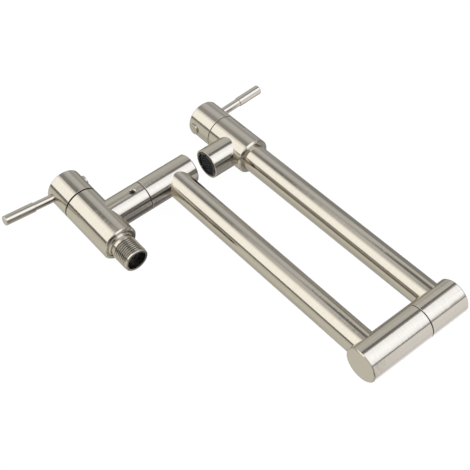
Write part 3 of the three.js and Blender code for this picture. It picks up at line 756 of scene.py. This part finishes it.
# ---------------------------------------------------------------- strainer and inlet seal
# A black moulded disc with rows of round holes lies in the nipple's bore. A rubber ring under the
# nipple seals it against the valve body.
strainer_depth = 6.5
strainer_thickness = 1.6
strainer_rim = 1.2
strainer_hole = 1.1
strainer_pitch = 3.3
strainer_gap = 0.1
strainer_round = 0.2

moulding = bpy.data.node_groups.new("moulding", "ShaderNodeTree")
for name, value in (("Grain per mm", 2.0), ("Cloud per mm", 0.15)):
    socket = moulding.interface.new_socket(name=name, in_out="INPUT", socket_type="NodeSocketFloat")
    socket.default_value = value
for name in ("Height", "Tone"):
    moulding.interface.new_socket(name=name, in_out="OUTPUT", socket_type="NodeSocketFloat")
given = moulding.nodes.new("NodeGroupInput").outputs
coordinates = add_node(moulding, "TexCoord").outputs
place_mm = vector_math(moulding, "SCALE", coordinates["Object"], scale=1 / mm)
result = moulding.nodes.new("NodeGroupOutput")
for pattern, detail, use in (("Grain per mm", 3.0, "Height"), ("Cloud per mm", 2.0, "Tone")):
    noise = add_node(
        moulding, "TexNoise", {"Vector": place_mm, "Scale": given[pattern], "Detail": detail}
    )
    moulding.links.new(noise.outputs["Fac"], result.inputs[use])


def moulded(name, colour, roughness, relief=0.02, shine=0.5):
    """Plastic, rubber or ceramic with a fine grain and a slightly uneven colour."""
    material = bpy.data.materials.new(name)
    tree = new_tree(material)
    group = add_node(tree, "Group", node_tree=moulding)
    tone = spread(tree, group.outputs["Tone"], noise_range, (0.85, 1.1))
    paint = vector_math(tree, "SCALE", colour, scale=tone)
    rough = spread(tree, group.outputs["Height"], (0, 1), uneven(roughness))
    bump = add_node(tree, "Bump", {
        "Height": group.outputs["Height"], "Strength": 1.0, "Distance": relief * mm,
    })
    surface = add_node(tree, "BsdfPrincipled", {
        "Base Color": paint, "Roughness": rough, "Normal": bump.outputs[0],
        "Specular IOR Level": shine,
    })
    add_node(tree, "OutputMaterial", {"Surface": surface.outputs[0]})
    return material


def hole_field(pitch, reach):
    """Centres of a hexagonal field of holes within a radius."""
    rows = math.ceil(reach / pitch) + 1
    centres = []
    for row in range(-rows, rows + 1):
        for column in range(-2 * rows, 2 * rows + 1):
            x = pitch * (column + row / 2)
            y = pitch * row * math.sin(math.pi / 3)
            if math.hypot(x, y) <= reach:
                centres.append((x, y))
    return centres


def drills(centres, radius, start, end, sides=16):
    """Straight pins that drill a field of holes."""
    shape = bmesh.new()
    for x, y in centres:
        bmesh.ops.create_cone(
            shape, cap_ends=True, segments=sides, radius1=radius, radius2=radius,
            depth=end - start, matrix=Matrix.Translation((x, y, (start + end) / 2)),
        )
    return shape


def dress(finish, *nodes):
    """Gives CAD nodes that keep their own shape a finish."""
    for node in nodes:
        frame["nodes"][node].material_slots[0].material = finish


strainer_radius = nipple_bore - strainer_gap
strainer_start = nipple_end + strainer_depth
strainer_end = strainer_start + strainer_thickness
field = hole_field(strainer_pitch, strainer_radius - strainer_rim - strainer_hole)
strainer = cut(
    soften(rod(strainer_radius, strainer_start, strainer_end), strainer_round),
    drills(field, strainer_hole, strainer_start - overcut, strainer_end + overcut),
)
black_plastic = moulded("black_plastic", (0.022, 0.022, 0.024), 0.42)
black_rubber = moulded("black_rubber", (0.018, 0.018, 0.018), 0.7)
add_piece("inlet_strainer", strainer, wall_valve, [black_plastic])
dress(black_rubber, "inlet_seal")

# ---------------------------------------------------------------- shoulder and elbow swivels
# A hollow brass spigot is clamped in each lower socket by a set screw. Two O-rings seal it, a
# spring clip keeps the upper barrel on it, and the barrel turns on a thin black washer.
elbow_axis = Vector(joints["elbow_swivel"]["pos_m"])
spout_axis = Vector(joints["spout_handle_turn"]["pos_m"])
arm_1_way = elbow_axis - shoulder_axis
arm_1_way.z = 0
arm_1_way.normalize()
arm_2_way = spout_axis - elbow_axis
arm_2_way.z = 0
arm_2_way.normalize()
fixture = seat(shoulder_axis, along_y, along_z)
arm_1 = seat(shoulder_axis, arm_1_way, along_z)
elbow = seat(elbow_axis, arm_1_way, along_z)
arm_2 = seat(elbow_axis, arm_2_way, along_z)

elbow_radius = 14
elbow_split = 113.2
swivel_gap = 0.6
washer_width = 2.4
washer_inset = 0.6
washer_play = 0.1
screw_tip = 8.6
screw_recess = 0.7
screw_chamfer = 0.55
hexagon_radius = 1.3
hexagon_depth = 2.4
screw_steel = (0.16, 0.155, 0.15)
brass_colour = (0.46, 0.31, 0.13)


def set_screw(radius, tip, head):
    """A grub screw along +Z with a hexagon socket in its head."""
    shank = soften(turned([
        (0, tip), (radius - screw_chamfer, tip), (radius, tip + screw_chamfer),
        (radius, head), (0, head),
    ]))
    hexagon = drills([(0, 0)], hexagon_radius, head - hexagon_depth, head + overcut, sides=6)
    return cut(shank, hexagon)


swivels = {
    "shoulder": (fixture, stub_radius, stub_top, 1),
    "elbow": (elbow, elbow_radius, elbow_split, -1),
}
for name, (place, socket_radius, split, side) in swivels.items():
    washer_radius = socket_radius - washer_inset
    washer = soften(pipe(
        washer_radius, washer_radius - washer_width,
        split + washer_play, split + swivel_gap - washer_play,
    ), fine_round)
    add_piece(name + "_washer", washer, place, [black_plastic])
    screw_turn = Matrix.Rotation(side * math.pi / 2, 4, "Y")
    screw_place = place @ Matrix.Translation((0, 0, split - swivel_screw_depth)) @ screw_turn
    screw = set_screw(swivel_screw_radius, screw_tip, socket_radius - screw_recess)
    screw_metal = brushed(name + "_screw_steel", screw_place, colour=screw_steel, roughness=0.28)
    add_piece(name + "_set_screw", screw, screw_place, [screw_metal])
    brass = brushed(name + "_brass", place, colour=brass_colour, roughness=0.3)
    steel = brushed(name + "_spring_steel", place, colour=screw_steel, roughness=0.3)
    dress(brass, name + "_spigot")
    dress(steel, name + "_clip")
    dress(black_rubber, name + "_socket_seal", name + "_neck_seal")

# ---------------------------------------------------------------- shoulder barrel
# A brushed tube that turns on the shoulder spigot and carries the first arm. Its top is closed by
# a pressed-in disc.
barrel_wall = 1.6
barrel_edge = 0.8
neck_length = 8
arm_radius = 11
arm_bore = 9.5
arm_1_height = 70.5
shoulder_above_arm = 17
end_cap_thickness = 2.4
end_cap_ledge = 0.5
end_cap_gap = 0.12
end_cap_round = 0.15

shoulder_top = arm_1_height + shoulder_above_arm


def upper_barrel(radius, split, top, arm_height):
    bottom = split + swivel_gap
    chamber = radius - barrel_wall
    ledge = top - end_cap_thickness - seam
    barrel = soften(turned([
        (0, bottom), (radius - edge_break / 2, bottom), (radius, bottom + edge_break / 2),
        (radius, top - barrel_edge), (radius - barrel_edge, top), (0, top),
    ]), fine_round)
    bore = turned([
        (0, bottom - overcut), (spigot_bore, bottom - overcut), (spigot_bore, bottom + neck_length),
        (chamber, bottom + neck_length), (chamber, ledge), (chamber + end_cap_ledge, ledge),
        (chamber + end_cap_ledge, top + overcut), (0, top + overcut),
    ])
    port = lay(to_y(rod(arm_bore, 0, 2 * radius)), Matrix.Translation((0, 0, arm_height)))
    return cut(barrel, bore, port)


def end_cap(radius, top):
    disc = radius - barrel_wall + end_cap_ledge - end_cap_gap
    return soften(rod(disc, top - end_cap_thickness, top), end_cap_round)


arm_1_upright = brushed("shoulder_nickel", arm_1)
arm_1_bores = brushed("shoulder_bores", arm_1, colour=brass_colour, roughness=0.32)
add_piece(
    "shoulder_barrel", upper_barrel(stub_radius, stub_top, shoulder_top, arm_1_height),
    arm_1, [arm_1_upright, arm_1_bores], bored=True,
)
add_piece(
    "shoulder_end_cap", end_cap(stub_radius, shoulder_top), arm_1, [arm_1_upright]
)

# ---------------------------------------------------------------- first arm
# A tube of brushed nickel over brass. Its two ends are cut to the curves of the barrels that it
# meets, and brazed to them.
arm_1_length = 226.5
braze_lap = 0.05


def coped_tube(length, first_radius, second_radius=None):
    tube = pipe(arm_radius, arm_bore, 0, length)
    copes = [to_y(rod(first_radius - braze_lap, -2 * arm_radius, 2 * arm_radius))]
    if second_radius:
        far = rod(second_radius - braze_lap, -2 * arm_radius, 2 * arm_radius)
        copes.append(lay(to_y(far), Matrix.Translation((0, 0, length))))
    return cut(tube, *copes)


lengthwise = Matrix.Rotation(-math.pi / 2, 4, "X")
tube_1 = arm_1 @ Matrix.Translation((0, 0, arm_1_height)) @ lengthwise
tube_1_metal = brushed("arm_1_nickel", tube_1)
add_piece(
    "arm_1_tube", coped_tube(arm_1_length, stub_radius, elbow_radius),
    tube_1, [tube_1_metal],
)

# ---------------------------------------------------------------- elbow
# Two brushed barrels one above the other. The lower one ends the first arm and has a solid foot.
# The upper one turns on it and starts the second arm.
arm_2_height = 135
elbow_below_arm = 14
elbow_above_arm = 14.5
barrel_floor = 3
spigot_foot = 20

elbow_bottom = arm_1_height - elbow_below_arm
elbow_top = arm_2_height + elbow_above_arm
socket_end = elbow_split - spigot_foot - 2 * seam
lower = soften(turned([
    (0, elbow_bottom), (elbow_radius - barrel_edge, elbow_bottom),
    (elbow_radius, elbow_bottom + barrel_edge), (elbow_radius, elbow_split - edge_break / 2),
    (elbow_radius - edge_break / 2, elbow_split), (0, elbow_split),
]), fine_round)
lower_bore = turned([
    (0, elbow_bottom + barrel_floor), (elbow_radius - barrel_wall, elbow_bottom + barrel_floor),
    (elbow_radius - barrel_wall, socket_end), (spigot_bore, socket_end),
    (spigot_bore, elbow_split + overcut), (0, elbow_split + overcut),
])
port = lay(to_y(rod(arm_bore, -2 * elbow_radius, 0)), Matrix.Translation((0, 0, arm_1_height)))
elbow_screw = lay(
    screw_hole(swivel_screw_radius + seam, elbow_radius - screw_inset, side=-1),
    Matrix.Translation((0, 0, elbow_split - swivel_screw_depth)),
)
lower_metal = brushed("elbow_lower_nickel", elbow)
add_piece(
    "elbow_lower_barrel", cut(lower, lower_bore, port, elbow_screw),
    elbow, [lower_metal, arm_1_bores], bored=True,
)
upper_metal = brushed("elbow_upper_nickel", arm_2)
arm_2_bores = brushed("elbow_bores", arm_2, colour=brass_colour, roughness=0.32)
add_piece(
    "elbow_upper_barrel", upper_barrel(elbow_radius, elbow_split, elbow_top, arm_2_height),
    arm_2, [upper_metal, arm_2_bores], bored=True,
)
add_piece("elbow_end_cap", end_cap(elbow_radius, elbow_top), arm_2, [upper_metal])

# ---------------------------------------------------------------- second arm
# The same brushed tube again. One end is brazed to the elbow's upper barrel, and the other is let
# into the rear of the spout valve.
arm_2_length = 223
tube_2 = arm_2 @ Matrix.Translation((0, 0, arm_2_height)) @ lengthwise
tube_2_metal = brushed("arm_2_nickel", tube_2)
add_piece(
    "arm_2_tube", coped_tube(arm_2_length - socket_floor - seam, elbow_radius),
    tube_2, [tube_2_metal],
)

# ---------------------------------------------------------------- spout valve body
# The second casting of brushed nickel over brass, without a stub. The arm enters its rear face, and
# the spout is brazed on below.
spout_rear_length = 19.2
spout_front_length = 20.2
spout_port = 8
arm_socket_gap = 0.15

spout_valve = seat(spout_axis, -along_z, arm_2_way)
body = cut(
    soften(turned(valve_outline(spout_rear_length, spout_front_length))),
    valve_bore(spout_rear_length, spout_front_length, arm_radius + arm_socket_gap),
    to_y(rod(spout_port, 0, 2 * valve_radius)),
)
spout_metal = brushed("spout_valve_nickel", spout_valve)
spout_bores = brushed("spout_bores", spout_valve, colour=bare_bore, roughness=0.3)
add_piece(
    "spout_valve_body", body, spout_valve, [spout_metal, spout_bores], bored=True
)

# ---------------------------------------------------------------- spout tube
# A short tube of brushed nickel over brass, brazed under the spout valve. A pocket turned in its
# mouth holds the aerator.
spout_radius = 12.5
spout_bore = 9.5
spout_drop = 33
spout_lip = 1.3
aerator_length = 8.6
aerator_proud = 0.5
aerator_wall = 1.7
aerator_seal_thickness = 1.4
aerator_gap = 0.15

pocket_radius = spout_radius - spout_lip
aerator_start = spout_drop + aerator_proud - aerator_length
pocket_start = aerator_start - aerator_seal_thickness - 2 * seam
spout_place = spout_valve @ lengthwise
spout = cut(
    soften(turned([
        (spout_bore, 0), (spout_radius, 0), (spout_radius, spout_drop - edge_break / 2),
        (spout_radius - edge_break / 2, spout_drop), (pocket_radius, spout_drop),
        (pocket_radius, pocket_start), (spout_bore, pocket_start),
    ], ring=True), fine_round),
    to_y(rod(valve_radius - braze_lap, -2 * valve_radius, 2 * valve_radius)),
)
spout_tube_metal = brushed("spout_tube_nickel", spout_place)
add_piece("spout_tube", spout, spout_place, [spout_tube_metal])

# ---------------------------------------------------------------- aerator
# A black moulded insert with a notched rim for its key, and a pierced black grille inside it. It is
# fixed in the pocket against a flat rubber seal.
notch_count = 8
notch_width = 1.5
notch_depth = 0.9
notch_rounding = 0.3  # share of its width
aerator_lip = 0.9
grille_thickness = 1.6
grille_recess = 1.5
grille_hole = 1.05
grille_pitch = 2.6
grille_margin = 0.9
grille_gap = 0.1
grille_round = 0.15

glossy_black = moulded("glossy_black", (0.02, 0.02, 0.021), 0.2)
grille_black = moulded("grille_black", (0.03, 0.03, 0.032), 0.6, shine=0.25)
aerator_radius = pocket_radius - aerator_gap
aerator_inside = aerator_radius - aerator_wall
rim = spout_drop + aerator_proud
grille_end = rim - grille_recess
grille_start = grille_end - grille_thickness
lip_radius = aerator_inside - aerator_lip
lip_start = grille_start - seam - grille_thickness


def notch_cutter(turn):
    """A round-bottomed slot across the rim at one place round it."""
    slot = bmesh.new()
    to_rim = Matrix.Rotation(turn, 4, "Z") @ Matrix.Translation((aerator_radius, 0, rim))
    block = Matrix.Diagonal((2 * aerator_wall + 2 * overcut, notch_width, 2 * notch_depth, 1))
    bmesh.ops.create_cube(slot, size=1, matrix=to_rim @ block)
    floor_edges = [
        edge for edge in slot.edges
        if max(end.co.z for end in edge.verts) < rim and edge.calc_length() > 2 * aerator_wall
    ]
    bmesh.ops.bevel(
        slot, geom=floor_edges, offset=notch_width * notch_rounding, offset_type="OFFSET",
        affect="EDGES", segments=3, profile=0.5, material=-1,
    )
    return slot


housing = soften(turned([
    (aerator_inside, aerator_start), (aerator_radius, aerator_start),
    (aerator_radius, rim - edge_break), (aerator_radius - edge_break, rim), (aerator_inside, rim),
    (aerator_inside, grille_start - seam), (lip_radius, grille_start - seam),
    (lip_radius, lip_start), (aerator_inside, lip_start),
], ring=True))
notches = [notch_cutter(math.tau * index / notch_count) for index in range(notch_count)]
add_piece("aerator_housing", cut(housing, *notches), spout_place, [glossy_black])

grille_radius = aerator_inside - grille_gap
field = hole_field(grille_pitch, grille_radius - grille_margin - grille_hole)
grille = cut(
    soften(rod(grille_radius, grille_start, grille_end), grille_round),
    drills(field, grille_hole, grille_start - overcut, grille_end + overcut),
)
add_piece("aerator_grille", grille, spout_place, [grille_black])
dress(black_rubber, "aerator_seal")

# ---------------------------------------------------------------- cartridges
# Each valve holds a quarter-turn cartridge: a brass housing with two side windows, two ceramic
# discs with matching windows, a brass stem and a slotted gland nut over them.
handle_sizes = {  # the lever's lean, and the plug's turn from opposite it, are in degrees
    "wall": dict(
        valve=wall_valve, front=wall_front_length, gap=1.2, cap=24.3,
        reach=58.5, lean=7.4, plug=-7.4,
    ),
    "spout": dict(
        valve=spout_valve, front=spout_front_length, gap=0.6, cap=24.7,
        reach=54.5, lean=-3, plug=7,
    ),
}
ceramic = moulded("ceramic", (0.80, 0.78, 0.72), 0.2, relief=0.002)
for name, sizes in handle_sizes.items():
    brass = brushed(name + "_valve_brass", sizes["valve"], colour=brass_colour, roughness=0.28)
    dress(brass, name + "_cartridge_housing", name + "_gland_nut", name + "_stem")
    dress(ceramic, name + "_cartridge_lower_disc", name + "_cartridge_upper_disc")
    dress(black_rubber, name + "_cartridge_seal", name + "_stem_seal")

# ---------------------------------------------------------------- bearing rings
# A thin ring of black plastic in the gap behind each handle cap, on which the cap turns. It lies a
# little inside the outline.
ring_inset = 1.3
ring_width = 2.2
ring_play = 0.1
# The ring is black plastic, and its near-black colour, darker than the other black plastics, also
# paints the shade in the gap.
ring_black_gap_shade = moulded("ring_black_gap_shade", (0.006, 0.006, 0.006), 0.7, shine=0.1)
for name, sizes in handle_sizes.items():
    start = sizes["front"] + ring_play
    end = sizes["front"] + sizes["gap"] - ring_play
    ring_radius = valve_radius - ring_inset
    ring = soften(pipe(ring_radius, ring_radius - ring_width, start, end), fine_round)
    add_piece(name + "_bearing_ring", ring, sizes["valve"], [ring_black_gap_shade])

# ---------------------------------------------------------------- handle caps
# A brushed solid cap of the valve's own width on each stem, drilled across for its lever and for
# the set screw that clamps it.
cap_recess_radius = 9
cap_recess_depth = 6
stem_bore = 4
stem_reach = 19.5
lever_from_end = 7.2
neck_radius = 3.3
lever_gap = 0.1
lever_seat = 8
lever_thread_radius = 2.5
plug_radius = 4.5
plug_seat = 11.6
plug_gap = 0.12
handle_screw_radius = 2.5

for name, sizes in handle_sizes.items():
    start = sizes["front"] + sizes["gap"]
    end = start + sizes["cap"]
    level = end - lever_from_end
    handle = sizes["valve"] @ Matrix.Rotation(math.radians(sizes["lean"]), 4, "Z")
    at_level = Matrix.Translation((0, 0, level))
    to_lever = at_level @ Matrix.Rotation(math.pi / 2, 4, "X")
    to_plug = at_level @ Matrix.Rotation(math.radians(sizes["plug"]), 4, "Z") @ lengthwise
    sizes["lever_place"] = handle @ to_lever
    sizes["plug_place"] = handle @ to_plug
    cap = soften(turned([
        (0, start), (valve_radius - crisp, start), (valve_radius, start + crisp),
        (valve_radius, end - barrel_edge), (valve_radius - barrel_edge, end), (0, end),
    ]))
    recess = turned([
        (0, start - overcut), (cap_recess_radius, start - overcut),
        (cap_recess_radius, start + cap_recess_depth), (stem_bore, start + cap_recess_depth),
        (stem_bore, start + stem_reach + seam), (0, start + stem_reach + seam),
    ])
    lever_hole = lay(turned([
        (0, 0), (lever_thread_radius + seam, 0), (lever_thread_radius + seam, lever_seat - seam),
        (neck_radius + lever_gap, lever_seat - seam), (neck_radius + lever_gap, 2 * valve_radius),
        (0, 2 * valve_radius),
    ]), to_lever)
    plug_hole = lay(turned([
        (0, 0), (handle_screw_radius + seam, 0), (handle_screw_radius + seam, plug_seat - seam),
        (plug_radius + plug_gap, plug_seat - seam), (plug_radius + plug_gap, 2 * valve_radius),
        (0, 2 * valve_radius),
    ]), to_plug)
    cap = cut(cap, recess, lever_hole, plug_hole)
    metal = brushed(name + "_cap_nickel", handle)
    add_piece(name + "_handle_cap", cap, handle, [metal])

# ---------------------------------------------------------------- levers
# Each lever is turned from one brass rod and plated: a thread and a slim neck that enter the cap,
# and a thicker grip.
grip_radius = 3.9
lever_step = 32
lever_thread_start = 4.7
grip_edge = 0.45
for name, sizes in handle_sizes.items():
    reach = sizes["reach"]
    lever = soften(turned([
        (0, lever_thread_start), (lever_thread_radius, lever_thread_start),
        (lever_thread_radius, lever_seat), (neck_radius, lever_seat), (neck_radius, lever_step),
        (grip_radius, lever_step + (grip_radius - neck_radius) / 2),
        (grip_radius, reach - grip_edge), (grip_radius - grip_edge, reach), (0, reach),
    ]), fine_round)
    metal = brushed(name + "_lever_nickel", sizes["lever_place"], roughness=0.09, tilt=0.08)
    add_piece(name + "_lever", lever, sizes["lever_place"], [metal])

# ---------------------------------------------------------------- plugs and handle set screws
# Opposite each lever a flat plated plug, pressed in, hides the steel set screw that clamps the cap
# on the stem.
plug_proud = 1.1
handle_screw_tip = 3.3
handle_screw_length = 5
for name, sizes in handle_sizes.items():
    top = valve_radius + plug_proud
    plug = soften(rod(plug_radius, plug_seat, top), segments=4)
    metal = brushed(name + "_plug_nickel", sizes["plug_place"], roughness=0.34)
    add_piece(name + "_handle_plug", plug, sizes["plug_place"], [metal])
    screw = set_screw(handle_screw_radius, handle_screw_tip, handle_screw_tip + handle_screw_length)
    steel = brushed(
        name + "_handle_screw_steel", sizes["plug_place"], colour=screw_steel, roughness=0.28
    )
    add_piece(name + "_handle_set_screw", screw, sizes["plug_place"], [steel])

# ---------------------------------------------------------------- finish
low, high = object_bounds()
sizes = {"cad": [list(cad_low), list(cad_high)], "scene": [list(low), list(high)]}
